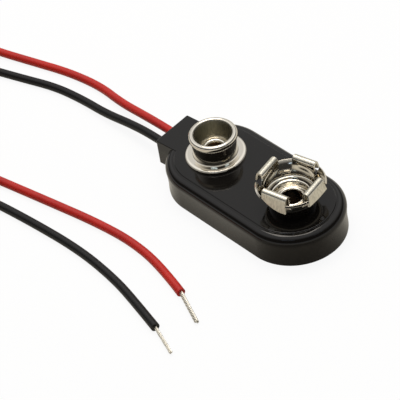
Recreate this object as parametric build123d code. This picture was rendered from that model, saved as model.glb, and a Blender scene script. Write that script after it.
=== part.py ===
from build123d import *
from math import atan2, cos, pi, radians, sin, tan
import os

# Nine volt battery snap connector: a black moulded housing that carries a small stud contact and a
# large petalled socket contact, with two stranded leads that leave a boss on one end.
# Millimetres. The origin is midway between the contacts on the underside, +X runs from the stud
# to the socket, away from the leads, and +Z is up.

# Standard spacing of the two contacts
contact_pitch = 12.7

# Housing: a shell with round ends, a slightly drawn-in waist, a rounded shoulder and a top face
# that stands one small step above the shoulder
end_spacing = 12.5
foot_radius = 6.2
foot_height = 0.25
waist_radius = 6.06
waist_height = 1.5
side_radius = 6.12
housing_height = 4.08
shoulder_radius = 1.0
plateau_radius = 5.05
plateau_step = 0.07
side_wall = 0.81
top_wall = 1.2
inner_corner_radius = 0.5

# Lead boss on the end beside the stud, set a few degrees askew and clear of the ground
boss_width = 5.55
boss_offset = -0.18
boss_reach = 13.9
boss_turn = 5.5
boss_bottom = 0.68
boss_corner_radius = 0.35
boss_edge_radius = 0.25
boss_end_wall = 1.2
lead_channel_width = 3.7

# Bottom cover, seated on a ledge inside the housing wall
cover_thickness = 0.8
cover_ledge = 0.4
cover_clearance = 0.05

# Stud contact, drawn and rolled from one sheet: dimple, inner cup, bead, neck and flange
stud_sheet = 0.18
stud_flange_radius = 3.6
stud_flange_height = 0.44
stud_flange_fall = 0.04
stud_neck_radius = 2.62
stud_bead_radius = 2.86
stud_bead_top = 3.44
stud_bead_bottom = 2.45
stud_bead_taper = 0.23
stud_mouth_radius = 2.24
stud_mouth_fall = 0.1
stud_cup_radius = 1.77
stud_floor_height = 1.0
stud_dimple_radius = 1.62
stud_dimple_depth = 0.47

# Bend radii of the stud's sheet, from the floor out to the flange
stud_floor_bend = 0.1
stud_cup_bend = 0.4
stud_mouth_bend = 0.24
stud_bead_bend = 0.36
stud_undercut_bend = 0.3
stud_neck_bend = 0.1
stud_foot_bend = 0.25
stud_rim_bend = 0.2

# Socket contact, one stamped sheet: dimple, floor, short wall, four short and four rolled petals
socket_sheet = 0.28
socket_floor_height = 1.39
socket_dimple_depth = 0.48
socket_dimple_radius = 1.86
socket_dimple_slope = 0.26
cup_wall_radius = 2.98
socket_floor_bend = 0.12
socket_slope_bend = 0.3
socket_wall_bend = 0.3
cup_wall_height = 0.6
short_petal_radius = 4.18
short_petal_height = 1.15
short_petal_foot = 0.2
short_petal_bend = 0.1
short_petal_angle = 38
long_petal_width = 3.05
petal_waist_radius = 2.5
near_petal_height = 1.3
far_petal_height = 1.93
petal_roll_radius = 0.48
flap_lean = 17
flap_long_side = 1.6
flap_short_side = 0.85
flap_middle_side = 1.6
flap_flare = 0.5
socket_turn = 13

# Eyelets that hold the contacts, and the ring tags that they clamp under the top wall
eyelet_radius = 1.36
eyelet_sheet = 0.2
eyelet_head_radius = 1.6
eyelet_head_height = 0.24
clinch_radius = 1.9
clinch_thickness = 0.22
tag_thickness = 0.25
tag_radius = 2.2
tag_reach = 3.3
tag_width = 1.5
eyelet_clearance = 0.03

# Leads, 26 gauge, thin insulation on stranded tinned copper
lead_diameter = 1.05
strand_diameter = 0.5
lead_spacing = 1.96
lead_offset = -0.26
lead_hole_clearance = 0.03
lead_channel_clearance = 0.05
black_lead_shift = 0.06
red_bare_length = 5.1
black_bare_length = 4.5
bare_end_height = 0.32
solder_radius = 0.75
solder_height = 0.95
solder_rim = 0.12
solder_fullness = 0.72
solder_gap = 0.33

# Places worked out from the sizes above. The side wall is as thick as named at its narrowest
stud_x = -contact_pitch / 2
socket_x = contact_pitch / 2
ceiling = housing_height - top_wall
cavity_radius = min(foot_radius, waist_radius, side_radius) - side_wall
hole_radius = eyelet_radius + eyelet_clearance
lead_rest = lead_diameter / 2
lead_hole_radius = lead_diameter / 2 + lead_hole_clearance
red_exit_y = lead_offset + lead_spacing / 2
black_exit_y = lead_offset - lead_spacing / 2
tag_bottom = ceiling - tag_thickness
lead_exit_height = tag_bottom - solder_gap - strand_diameter / 2
black_joint_x = stud_x - tag_reach + solder_radius
red_joint_x = socket_x - tag_reach + solder_radius


def sheet_section(points, radii, thickness):
    """Section of a bent sheet: its left face follows the points, its thickness lies on the right."""
    sharpest_bend = thickness / 10
    runs = [(Vector(*b) - Vector(*a)).normalized() for a, b in zip(points, points[1:])]
    sides = [Vector(run.Y, -run.X) * thickness for run in runs]
    back = [Vector(*points[0]) + sides[0]]
    back_radii = []
    for i, (point, radius) in enumerate(zip(points[1:-1], radii)):
        share = 1 / (1 + runs[i].dot(runs[i + 1]))
        back.append(Vector(*point) + (sides[i] + sides[i + 1]) * share)
        bends_left = runs[i].cross(runs[i + 1]).Z > 0
        back_radii.append(radius + thickness if bends_left else max(radius - thickness, sharpest_bend))
    back.append(Vector(*points[-1]) + sides[-1])
    front_line = FilletPolyline(*points, radius=radii)
    back_line = FilletPolyline(*back, radius=back_radii)
    edges = [Line(front_line @ 0, back_line @ 0), Line(front_line @ 1, back_line @ 1)]
    return make_face([front_line, back_line] + edges)


def turned(section, angle=360):
    """A section in the XZ plane, turned about the Z axis."""
    return revolve(Plane.XZ * section, Axis.Z, revolution_arc=angle)


def around_housing(section):
    """Carries a half section round both ends of the housing and straight along its sides."""
    half_length = end_spacing / 2
    round_end = turned(section)
    sides = extrude(Plane.YZ * (section + mirror(section, Plane.YZ)), half_length, both=True)
    return (Pos(half_length, 0, 0) * round_end) + (Pos(-half_length, 0, 0) * round_end) + sides


def housing_section():
    """Outer half section: foot, hollow waist, round shoulder and the step up to the top face."""
    shoulder_top = housing_height - plateau_step
    side_top = shoulder_top - shoulder_radius
    shoulder_start = side_radius - shoulder_radius
    middle = shoulder_radius * sin(pi / 4)
    waist = ThreePointArc((foot_radius, foot_height), (waist_radius, waist_height), (side_radius, side_top))
    shoulder = ThreePointArc(
        (side_radius, side_top),
        (shoulder_start + middle, side_top + middle),
        (shoulder_start, shoulder_top),
    )
    rest = Polyline(
        (shoulder_start, shoulder_top),
        (plateau_radius, shoulder_top),
        (plateau_radius - plateau_step, housing_height),
        (0, housing_height),
        (0, 0),
        (foot_radius, 0),
        waist @ 0,
    )
    return make_face([waist, shoulder, rest])


def boss_place(x, bottom):
    """Place of a block in the boss, x from its end face and as far above the ground as asked."""
    return Pos(-boss_reach, boss_offset, 0) * Rot(0, 0, boss_turn) * Pos(x, 0, bottom)


def lead_boss():
    """The block on the end of the housing that the leads come out of, flush with the top."""
    length = boss_reach - end_spacing / 2
    height = housing_height - boss_bottom
    block = Box(length, boss_width, height, align=(Align.MIN, Align.CENTER, Align.MIN))
    block = fillet(block.edges().filter_by(Axis.Z).group_by(Axis.X)[0], boss_corner_radius)
    outer_top = block.edges().group_by(Axis.Z)[-1].sort_by(Axis.X)[:-1]
    return boss_place(0, boss_bottom) * fillet(outer_top, boss_edge_radius)


def lead_channel():
    """Room inside the boss for the leads, from the end wall to the hollow of the housing."""
    bottom = lead_exit_height - lead_diameter / 2 - lead_channel_clearance
    length = boss_reach - boss_end_wall - end_spacing / 2
    room = Box(length, lead_channel_width, ceiling - bottom, align=(Align.MIN, Align.CENTER, Align.MIN))
    return boss_place(boss_end_wall, bottom) * room


def stud_pad():
    """Raised round seat under the stud's dimple."""
    pad_top = stud_floor_height - stud_sheet
    return Pos(stud_x, 0, ceiling) * extrude(Circle(stud_dimple_radius), top_wall + pad_top)


def socket_pad():
    """Raised round seat under the socket's floor, hollowed for the dimple of its sheet."""
    rim = housing_height + socket_floor_height - socket_sheet
    hollow = rim - socket_dimple_depth
    slope_angle = atan2(socket_dimple_depth, socket_dimple_slope)
    hollow_radius = socket_dimple_radius + socket_sheet * tan(slope_angle / 2)
    section = Polyline(
        (0, ceiling),
        (cup_wall_radius - socket_sheet, ceiling),
        (cup_wall_radius - socket_sheet, rim),
        (hollow_radius + socket_dimple_slope, rim),
        (hollow_radius, hollow),
        (0, hollow),
        close=True,
    )
    return Pos(socket_x, 0, 0) * turned(make_face(section))


def make_housing():
    shell = around_housing(housing_section()) + lead_boss()
    cavity = Pos(0, 0, cover_thickness) * extrude(
        SlotCenterToCenter(end_spacing, 2 * cavity_radius), ceiling - cover_thickness
    )
    cavity = fillet(cavity.edges().group_by(Axis.Z)[-1], inner_corner_radius)
    recess = extrude(SlotCenterToCenter(end_spacing, 2 * (cavity_radius + cover_ledge)), cover_thickness)
    shell = shell - cavity - recess - lead_channel()
    shell = shell + stud_pad() + socket_pad()
    for x in (stud_x, socket_x):
        shell = shell - Pos(x, 0, ceiling) * Cylinder(hole_radius, 2 * housing_height)
    lead_hole = Rot(0, 90, 0) * Cylinder(lead_hole_radius, boss_reach, align=Align.CENTER)
    for y in (red_exit_y, black_exit_y):
        shell = shell - Pos(-boss_reach, y, lead_exit_height) * lead_hole
    return shell


def make_cover():
    radius = cavity_radius + cover_ledge - cover_clearance
    return extrude(SlotCenterToCenter(end_spacing, 2 * radius), cover_thickness)


def make_stud():
    """Dimple, inner cup, bead, neck and flange are one line of sheet, turned about the axis."""
    points = [
        (hole_radius, stud_floor_height),
        (stud_dimple_radius, stud_floor_height),
        (stud_cup_radius, stud_floor_height + stud_dimple_depth),
        (stud_mouth_radius, stud_bead_top - stud_mouth_fall),
        (stud_bead_radius, stud_bead_top),
        (stud_bead_radius, stud_bead_bottom),
        (stud_neck_radius, stud_bead_bottom - stud_bead_taper),
        (stud_neck_radius, stud_flange_height),
        (stud_flange_radius, stud_flange_height - stud_flange_fall),
        (stud_flange_radius, 0),
    ]
    radii = [
        stud_floor_bend,
        stud_cup_bend,
        stud_mouth_bend,
        stud_bead_bend,
        stud_undercut_bend,
        stud_neck_bend,
        stud_foot_bend,
        stud_rim_bend,
    ]
    return Pos(stud_x, 0, housing_height) * turned(sheet_section(points, radii, stud_sheet))


def socket_cup():
    """Dimple, floor and the low wall that the petals rise from."""
    points = [
        (hole_radius, socket_floor_height - socket_dimple_depth),
        (socket_dimple_radius, socket_floor_height - socket_dimple_depth),
        (socket_dimple_radius + socket_dimple_slope, socket_floor_height),
        (cup_wall_radius, socket_floor_height),
        (cup_wall_radius, socket_floor_height + cup_wall_height),
    ]
    radii = [socket_floor_bend, socket_slope_bend, socket_wall_bend]
    return turned(sheet_section(points, radii, socket_sheet))


def short_petal():
    """A sector of the wall that flares outward to a plain cut edge."""
    wall_top = socket_floor_height + cup_wall_height
    points = [
        (cup_wall_radius, wall_top),
        (cup_wall_radius, wall_top + short_petal_foot),
        (short_petal_radius - socket_sheet, wall_top + short_petal_height),
    ]
    flare = turned(sheet_section(points, [short_petal_bend], socket_sheet), short_petal_angle)
    return Rot(0, 0, -short_petal_angle / 2) * flare


def long_petal(height, mirrored):
    """A wide petal that flattens to a waist as high as asked, rolls outward and ends in a flap."""
    half_width = long_petal_width / 2
    wall_top = socket_floor_height + cup_wall_height
    inner = arc_of(cup_wall_radius, half_width)
    outer = arc_of(cup_wall_radius + socket_sheet, half_width)
    root = make_face([inner, outer, Line(inner @ 0, outer @ 0), Line(inner @ 1, outer @ 1)])
    waist_middle = Pos(petal_waist_radius + socket_sheet / 2, 0, wall_top + height)
    waist = waist_middle * Rectangle(socket_sheet, long_petal_width)
    wall = loft([Pos(0, 0, wall_top) * root, waist])
    roll_axis = Axis((petal_waist_radius + petal_roll_radius, 0, wall_top + height), (0, 1, 0))
    roll = revolve(waist, roll_axis, revolution_arc=180 - flap_lean)
    long_corner = (-half_width - flap_flare, -flap_long_side)
    short_corner = (half_width, -flap_short_side)
    sides = Polyline(long_corner, (-half_width, 0), (half_width, 0), short_corner)
    end = ThreePointArc(short_corner, (0, -flap_middle_side), long_corner)
    outline = make_face([sides, end])
    if mirrored:
        outline = mirror(outline, Plane.YZ)
    lean = radians(flap_lean)
    flap_start = roll_axis.position + Vector(cos(lean), 0, sin(lean)) * (petal_roll_radius - socket_sheet)
    flap_plane = Plane(origin=flap_start, x_dir=(0, 1, 0), z_dir=(cos(lean), 0, sin(lean)))
    flap = extrude(flap_plane * outline, socket_sheet)
    return wall + roll + flap


def chord_x(radius, half_width):
    """Distance of a chord from the centre of its circle."""
    return (radius**2 - half_width**2) ** 0.5


def arc_of(radius, half_width):
    """The short arc of a circle about the origin that crosses the X axis."""
    x = chord_x(radius, half_width)
    return ThreePointArc((x, -half_width), (radius, 0), (x, half_width))


def make_socket():
    """The cup with its petals. The two rolled petals on the far side and the stud's side stand higher."""
    contact = socket_cup()
    heights = [near_petal_height, far_petal_height, far_petal_height, near_petal_height]
    for i, height in enumerate(heights):
        contact = contact + Rot(0, 0, 90 * i) * long_petal(height, mirrored=i % 2 == 1)
        contact = contact + Rot(0, 0, 90 * i + 45) * short_petal()
    return Pos(socket_x, 0, housing_height) * Rot(0, 0, socket_turn) * contact


def make_eyelet(x, seat_height):
    """A tube with a rounded head above the contact and a clinched rim under the tag."""
    seat = housing_height + seat_height
    bore = eyelet_radius - eyelet_sheet
    crest = (bore + eyelet_head_radius) / 2
    rim_bottom = tag_bottom - clinch_thickness
    head = ThreePointArc((eyelet_head_radius, seat), (crest, seat + eyelet_head_height), (bore, seat))
    rim = ThreePointArc((bore, tag_bottom), (eyelet_radius, rim_bottom), (clinch_radius, tag_bottom))
    tag_corner = (eyelet_radius, tag_bottom)
    barrel = Polyline((clinch_radius, tag_bottom), tag_corner, (eyelet_radius, seat), head @ 0)
    return Pos(x, 0, 0) * turned(make_face([head, rim, barrel, Line(head @ 1, rim @ 0)]))


def make_tag(x):
    """Ring tag with a tongue toward the lead boss, flat against the underside of the top wall."""
    tongue = Pos(-tag_reach, 0) * Rectangle(tag_reach, tag_width, align=(Align.MIN, Align.CENTER))
    outline = Circle(tag_radius) + tongue - Circle(hole_radius)
    return Pos(x, 0, tag_bottom) * extrude(outline, tag_thickness)


def make_solder(x, strands):
    """A bead of solder under the tag's tongue, run round the strands."""
    points = [(0, -solder_height), (solder_radius, -solder_rim), (solder_radius, 0)]
    bulge = (solder_fullness * solder_radius, -solder_fullness * solder_height)
    dome = ThreePointArc(points[0], bulge, points[1])
    section = make_face([dome, Polyline(points[1], points[2], (0, 0), points[0])])
    return Pos(x, 0, tag_bottom) * turned(section) - strands


def corner_radii(points):
    """The largest arc that each corner's two runs leave room for."""
    radii = []
    for a, b, c in zip(points, points[1:], points[2:]):
        before = Vector(*b) - Vector(*a)
        after = Vector(*c) - Vector(*b)
        half_turn = radians(before.get_angle(after)) / 2
        radii.append(0.45 * min(before.length, after.length) / tan(half_turn))
    return radii


def make_lead(name, points):
    """A round lead along straight runs that tangent arcs join."""
    radii = corner_radii(points)
    path = FilletPolyline(*points, radius=radii)
    section = Plane(origin=path @ 0, z_dir=path % 0) * Circle(lead_diameter / 2)
    lead = sweep(section, path=path)
    expected = pi * lead_diameter**2 / 4 * path.length
    print(name, "length", round(path.length, 2), "volume", round(lead.volume, 3), "of", round(expected, 3))
    print(name, "radii", [round(radius, 1) for radius in radii])
    return lead


def make_rod(start, finish):
    """A straight bundle of strands between two points."""
    run = Vector(*finish) - Vector(*start)
    return extrude(Plane(origin=start, z_dir=run) * Circle(strand_diameter / 2), run.length)


# Routes of the leads, from the stripped end inside the housing to the stripped end outside
red_route = [
    (2.6, 1.1, lead_exit_height),
    (0.7, 1.7, lead_exit_height),
    (-2.3, 3.0, lead_exit_height),
    (-6.8, 3.2, lead_exit_height),
    (-10.55, red_exit_y, lead_exit_height),
    (-16.6, red_exit_y, lead_exit_height),
    (-21.0, 0.98, 1.45),
    (-25.4, 1.2, 0.8),
    (-30.2, 1.75, lead_rest),
    (-35.4, 1.0, lead_rest),
    (-40.6, -0.55, lead_rest),
    (-46.5, -2.3, lead_rest),
    (-54.0, -3.8, lead_rest),
    (-62.6, -5.2, lead_rest),
    (-70.0, -9.2, lead_rest),
    (-73.0, -15.8, lead_rest),
    (-70.2, -22.2, lead_rest),
    (-63.0, -24.9, lead_rest),
    (-53.8, -23.8, lead_rest),
    (-44.4, -21.6, lead_rest),
    (-35.2, -19.2, lead_rest),
    (-26.4, -17.45, lead_rest),
    (-18.6, -15.9, lead_rest),
    (-11.8, -14.6, lead_rest),
    (-6.1, -14.0, lead_rest),
    (-0.6, -14.5, lead_rest),
    (4.26, -15.8, lead_rest),
]
black_route = [
    (-10.6, black_exit_y, lead_exit_height),
    (-16.6, black_exit_y + black_lead_shift, lead_exit_height),
    (-21.0, -1.1, 1.4),
    (-25.4, -1.35, 0.78),
    (-30.0, -1.35, lead_rest),
    (-34.6, -1.95, lead_rest),
    (-39.4, -3.6, lead_rest),
    (-46.6, -5.9, lead_rest),
    (-55.0, -7.4, lead_rest),
    (-63.5, -8.9, lead_rest),
    (-69.6, -13.0, 1.3),
    (-71.3, -19.4, 2.15),
    (-68.0, -26.0, 2.15),
    (-61.0, -29.4, 1.2),
    (-52.6, -28.6, lead_rest),
    (-43.4, -25.8, lead_rest),
    (-34.2, -22.9, lead_rest),
    (-25.6, -20.5, lead_rest),
    (-17.4, -19.45, lead_rest),
    (-9.6, -18.85, lead_rest),
    (-3.0, -19.3, lead_rest),
    (1.6, -20.2, lead_rest),
    (6.0, -21.2, lead_rest),
]


def bare_tip(route, length):
    """Where the stripped end of a lead points to, a little lower than the insulation's middle."""
    run = Vector(*route[-1]) - Vector(*route[-2])
    return Vector(*route[-1]) + run.normalized() * length + Vector(0, 0, bare_end_height - lead_rest)


red_inner_strands = make_rod(red_route[0], (red_joint_x, 0, lead_exit_height))
black_inner_strands = make_rod(black_route[0], (black_joint_x, 0, lead_exit_height))

parts = {
    "housing": make_housing(),
    "bottom_cover": make_cover(),
    "stud_contact": make_stud(),
    "stud_eyelet": make_eyelet(stud_x, stud_floor_height),
    "stud_solder_tag": make_tag(stud_x),
    "socket_contact": make_socket(),
    "socket_eyelet": make_eyelet(socket_x, socket_floor_height - socket_dimple_depth),
    "socket_solder_tag": make_tag(socket_x),
    "red_lead": make_lead("red_lead", red_route),
    "black_lead": make_lead("black_lead", black_route),
    "red_tinned_end": make_rod(red_route[-1], bare_tip(red_route, red_bare_length)),
    "black_tinned_end": make_rod(black_route[-1], bare_tip(black_route, black_bare_length)),
    "red_inner_strands": red_inner_strands,
    "black_inner_strands": black_inner_strands,
    "red_solder_joint": make_solder(red_joint_x, red_inner_strands),
    "black_solder_joint": make_solder(black_joint_x, black_inner_strands),
}

os.makedirs("parts", exist_ok=True)
for name, solid in parts.items():
    solid.label = name
    export_step(solid, f"parts/{name}.step")
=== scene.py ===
import bmesh
import bpy
import numpy as np
from mathutils import Matrix, Vector


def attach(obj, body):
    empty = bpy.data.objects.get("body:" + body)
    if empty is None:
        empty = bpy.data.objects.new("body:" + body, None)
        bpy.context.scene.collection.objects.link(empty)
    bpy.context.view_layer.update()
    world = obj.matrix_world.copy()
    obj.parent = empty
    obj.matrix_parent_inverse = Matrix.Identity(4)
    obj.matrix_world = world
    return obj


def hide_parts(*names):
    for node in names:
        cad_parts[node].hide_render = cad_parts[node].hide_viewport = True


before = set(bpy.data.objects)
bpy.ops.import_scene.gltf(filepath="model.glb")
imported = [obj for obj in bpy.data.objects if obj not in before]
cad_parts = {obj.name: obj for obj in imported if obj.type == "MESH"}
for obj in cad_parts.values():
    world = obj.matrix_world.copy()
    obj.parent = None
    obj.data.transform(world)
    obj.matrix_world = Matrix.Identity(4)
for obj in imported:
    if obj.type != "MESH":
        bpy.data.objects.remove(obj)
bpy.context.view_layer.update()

# Sizes are in millimetres and angles in degrees, and mm turns a size to metres
mm = 0.001

# Camera at the photograph's viewing angle. The focal length is in the photograph's pixels
camera = {
    "azimuth": 54.202,
    "elevation": 42.584,
    "roll": -9.967,
    "distance": 240.056,
    "sideways": -6.645,
    "upward": 0.425,
    "focalPixels": 2075.379,
    "imagePixels": 400,
    "sensorWidth": 36.0,
    "clipStart": 10.0,
}


# The camera stands back from the origin in the direction that azimuth and elevation give, where
# azimuth 0 looks along +Y, is moved sideways and upward, and rolls about its line of sight
def makeCamera(s):
    az, el, roll = np.radians([s["azimuth"], s["elevation"], s["roll"]])
    back = np.array([np.cos(el) * np.sin(az), -np.cos(el) * np.cos(az), np.sin(el)])
    level = np.array([np.cos(az), np.sin(az), 0.0])
    upright = np.cross(back, level)
    right = np.cos(roll) * level + np.sin(roll) * upright
    up = -np.sin(roll) * level + np.cos(roll) * upright
    place = (s["sideways"] * right + s["upward"] * up + s["distance"] * back) * mm
    data = bpy.data.cameras.new("camera")
    data.sensor_width = s["sensorWidth"]
    data.lens = s["focalPixels"] * s["sensorWidth"] / s["imagePixels"]
    data.clip_start = s["clipStart"] * mm
    seen = bpy.data.objects.new("camera", data)
    turn = Matrix((right, up, back)).transposed().to_4x4()
    seen.matrix_world = Matrix.Translation(Vector(place)) @ turn
    bpy.context.collection.objects.link(seen)
    bpy.context.scene.camera = seen


makeCamera(camera)
print("camera placed")


# Colours are written as sRGB hex, and this turns one to linear light: a straight line near black
# and a power of 2.4 above it
def toLinear(hexColour):
    c = np.array([int(hexColour[i:i + 2], 16) for i in (0, 2, 4)]) / 255
    c = np.where(c <= 0.04045, c / 12.92, ((c + 0.055) / 1.055) ** 2.4)
    return (*c, 1.0)


# Adds one node: its settings, the values of its inputs, links given as input to output socket, and
# the stops of a colour ramp
def addNode(tree, kind, settings=None, values=None, links=None, stops=()):
    node = tree.nodes.new(kind)
    for key, value in (settings or {}).items():
        setattr(node, key, value)
    for key, value in (values or {}).items():
        node.inputs[key].default_value = value
    for key, source in (links or {}).items():
        tree.links.new(source, node.inputs[key])
    for element, (position, colour) in enumerate(stops):
        node.color_ramp.elements[element].position = position
        node.color_ramp.elements[element].color = colour
    return node


def newMaterial(name):
    material = bpy.data.materials.new(name)
    material.use_nodes = True
    material.node_tree.nodes.clear()
    return material, material.node_tree


def finishMaterial(tree, shader):
    addNode(tree, "ShaderNodeOutputMaterial", links={"Surface": shader.outputs[0]})


# ABS from a polished mould: a glossy black top that mirrors the lights, and duller sides where the
# mould's draft and fingers have rubbed it. The sides' lighter colour is painted light
plastic = {
    "tint": "141210",
    # The sides' colour below is painted light, lighter than the top
    "sidePaintedLight": "2E2B27",
    "rough": 0.08,
    "sideRough": 0.26,
    "gloss": 0.25,
    "ior": 1.53,
    "topFrom": 3.5,  # height below which the sides' finish starts
    "sideTo": 2.4,  # height below which it is full
    # The flow's patches vary both the sides' duller finish and their painted light
    "flowSize": 3.0,  # patches left by the flow in the mould
    "grainSize": 0.12,  # mould grain, drawn coarser than the real one so that it shows
    "bump": 0.03,
    "bumpDepth": 0.01,
}


def mouldedAbs(name, s):
    material, tree = newMaterial(name)
    place = addNode(tree, "ShaderNodeTexCoord").outputs["Object"]
    height = addNode(tree, "ShaderNodeSeparateXYZ", links={0: place}).outputs["Z"]
    side = addNode(
        tree, "ShaderNodeMapRange", {"interpolation_type": "SMOOTHSTEP"},
        {"From Min": s["topFrom"] * mm, "From Max": s["sideTo"] * mm}, {"Value": height},
    )
    flow = addNode(
        tree, "ShaderNodeTexNoise",
        values={"Scale": 1 / (s["flowSize"] * mm), "Detail": 4.0, "Roughness": 0.55},
        links={"Vector": place},
    )
    # The noise averages one half, so its product with the side's share is doubled
    sideLightAndDullness = addNode(
        tree, "ShaderNodeMath", {"operation": "MULTIPLY"}, links={0: side.outputs[0], 1: flow.outputs[0]}
    )
    sideLightAndDullness = addNode(tree, "ShaderNodeMath", {"operation": "MULTIPLY"}, {1: 2.0}, {0: sideLightAndDullness.outputs[0]})
    grain = addNode(
        tree, "ShaderNodeTexNoise", values={"Scale": 1 / (s["grainSize"] * mm), "Detail": 2.0},
        links={"Vector": place},
    )
    # The sides' lighter colour is painted light, mixed in by the same mask as their duller roughness
    colour = addNode(
        tree, "ShaderNodeMix", {"data_type": "RGBA"},
        {6: toLinear(s["tint"]), 7: toLinear(s["sidePaintedLight"])}, {0: sideLightAndDullness.outputs[0]},
    )
    shine = addNode(
        tree, "ShaderNodeMix", values={2: s["rough"], 3: s["sideRough"]}, links={0: sideLightAndDullness.outputs[0]}
    )
    bump = addNode(
        tree, "ShaderNodeBump", values={"Strength": s["bump"], "Distance": s["bumpDepth"] * mm},
        links={"Height": grain.outputs[0]},
    )
    shader = addNode(
        tree, "ShaderNodeBsdfPrincipled", values={"IOR": s["ior"], "Specular IOR Level": s["gloss"]},
        links={"Base Color": colour.outputs[2], "Roughness": shine.outputs[0], "Normal": bump.outputs[0]},
    )
    finishMaterial(tree, shader)
    return material


# Each metal's bright finish and the duller one that parts of its surface have
metals = {
    # Drawn and rolled sheet, nickel plated: near a mirror, dull where the punch drew the cup,
    # and darker there, which is painted shade
    "nickelPlateDrawn": {
        "tint": "D6D0C4", "rough": 0.07, "dullAndShadeTint": "A19D8B", "dullRough": 0.42, "streakShade": 0.8,
    },
    # Stamped and bent spring sheet, nickel plated: paler and softer over the bent flaps
    "nickelPlateStamped": {
        "tint": "D2CCBF", "rough": 0.1, "dullAndShadeTint": "D8D3C4", "dullRough": 0.32, "streakShade": 0.75,
    },
    # Rivet tube, nickel plated, with bare brass showing down its bore
    "nickelPlatedEyelet": {
        "tint": "DAD4C8", "rough": 0.12, "dullAndShadeTint": "C39C74", "dullRough": 0.45, "streakShade": 0.85,
    },
    # Drawn copper wire dipped in tin: pale with a soft sheen
    "tinnedCopperStrands": {
        "tint": "DAD6CB", "rough": 0.36, "dullAndShadeTint": "DAD6CB", "dullRough": 0.36, "streakShade": 0.9,
    },
    # Blanked brass sheet dipped in tin: pale and satin
    "tinnedBrassTag": {
        "tint": "CFC9BC", "rough": 0.28, "dullAndShadeTint": "CFC9BC", "dullRough": 0.28, "streakShade": 0.9,
    },
    # Solder that set in the air: grey and satin
    "solderGrey": {
        "tint": "C4C2BE", "rough": 0.3, "dullAndShadeTint": "C4C2BE", "dullRough": 0.3, "streakShade": 0.9,
    },
}
# The metals' common patterns, with drawing streaks coarser than the real ones so that they show
metalGrain = {
    "streakWidth": 0.15,
    "streakLength": 2.0,
    "streakRamp": (0.35, 0.65),
    "patchSize": 0.9,
    "roughSpread": 0.25,
    "bump": 0.03,
    "bumpDepth": 0.01,
}


# A point attribute blends from a metal's bright finish to its duller one, whose darker colour on
# the stud's cup is painted shade. Fine upright streaks follow the way the sheet was pulled and show
# where it is dull, and patches vary the roughness
def platedSheet(name, s, grain):
    material, tree = newMaterial(name)
    place = addNode(tree, "ShaderNodeTexCoord").outputs["Object"]
    dullAndShade = addNode(tree, "ShaderNodeAttribute", {"attribute_name": "dullAndShade"}).outputs["Fac"]
    acrossScale = 1 / (grain["streakWidth"] * mm)
    alongScale = 1 / (grain["streakLength"] * mm)
    pulled = addNode(
        tree, "ShaderNodeMapping", values={"Scale": (acrossScale, acrossScale, alongScale)},
        links={"Vector": place},
    )
    streaks = addNode(
        tree, "ShaderNodeTexNoise", values={"Scale": 1.0, "Detail": 2.0}, links={"Vector": pulled.outputs[0]}
    )
    patches = addNode(
        tree, "ShaderNodeTexNoise", values={"Scale": 1 / (grain["patchSize"] * mm), "Detail": 3.0},
        links={"Vector": place},
    )
    light = addNode(
        tree, "ShaderNodeMix", {"data_type": "RGBA"},
        {6: toLinear(s["tint"]), 7: toLinear(s["dullAndShadeTint"])}, {0: dullAndShade},
    )
    first, last = grain["streakRamp"]
    shade = addNode(
        tree, "ShaderNodeValToRGB", links={"Fac": streaks.outputs[0]},
        stops=[(first, (*[s["streakShade"]] * 3, 1)), (last, (1, 1, 1, 1))],
    )
    streaked = addNode(
        tree, "ShaderNodeMix", {"data_type": "RGBA", "blend_type": "MULTIPLY"},
        links={0: dullAndShade, 6: light.outputs[2], 7: shade.outputs["Color"]},
    )
    uneven = addNode(
        tree, "ShaderNodeMapRange",
        values={"To Min": 1 - grain["roughSpread"], "To Max": 1 + grain["roughSpread"]},
        links={"Value": patches.outputs[0]},
    )
    shine = addNode(
        tree, "ShaderNodeMix", values={2: s["rough"], 3: s["dullRough"]}, links={0: dullAndShade}
    )
    rough = addNode(
        tree, "ShaderNodeMath", {"operation": "MULTIPLY"}, links={0: uneven.outputs[0], 1: shine.outputs[0]}
    )
    bump = addNode(
        tree, "ShaderNodeBump", values={"Strength": grain["bump"], "Distance": grain["bumpDepth"] * mm},
        links={"Height": streaks.outputs[0]},
    )
    shader = addNode(
        tree, "ShaderNodeBsdfPrincipled", values={"Metallic": 1.0},
        links={"Base Color": streaked.outputs[2], "Roughness": rough.outputs[0], "Normal": bump.outputs[0]},
    )
    finishMaterial(tree, shader)
    return material


# Extruded PVC: satin, with a faint grain and slow changes of shade along the lead
insulation = {
    "redPvcInsulation": {"tint": "C42012", "shade": "B01912", "rough": 0.42, "gloss": 0.3},
    "blackPvcInsulation": {"tint": "121010", "shade": "0D0C0C", "rough": 0.4, "gloss": 0.22},
}
# The grain is drawn coarser than the real one so that it shows
pvcGrain = {
    "shadeSize": 4.0,
    "shadeRamp": (0.3, 0.7),
    "grainSize": 0.15,
    "bump": 0.05,
    "bumpDepth": 0.01,
    "ior": 1.53,
}


def extrudedPvc(name, s, grain):
    material, tree = newMaterial(name)
    place = addNode(tree, "ShaderNodeTexCoord").outputs["Object"]
    slow = addNode(
        tree, "ShaderNodeTexNoise", values={"Scale": 1 / (grain["shadeSize"] * mm), "Detail": 3.0},
        links={"Vector": place},
    )
    fine = addNode(
        tree, "ShaderNodeTexNoise", values={"Scale": 1 / (grain["grainSize"] * mm), "Detail": 2.0},
        links={"Vector": place},
    )
    first, last = grain["shadeRamp"]
    colour = addNode(
        tree, "ShaderNodeValToRGB", links={"Fac": slow.outputs[0]},
        stops=[(first, toLinear(s["shade"])), (last, toLinear(s["tint"]))],
    )
    bump = addNode(
        tree, "ShaderNodeBump", values={"Strength": grain["bump"], "Distance": grain["bumpDepth"] * mm},
        links={"Height": fine.outputs[0]},
    )
    shader = addNode(
        tree, "ShaderNodeBsdfPrincipled",
        values={"Roughness": s["rough"], "IOR": grain["ior"], "Specular IOR Level": s["gloss"]},
        links={"Base Color": colour.outputs["Color"], "Normal": bump.outputs[0]},
    )
    finishMaterial(tree, shader)
    return material


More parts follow.
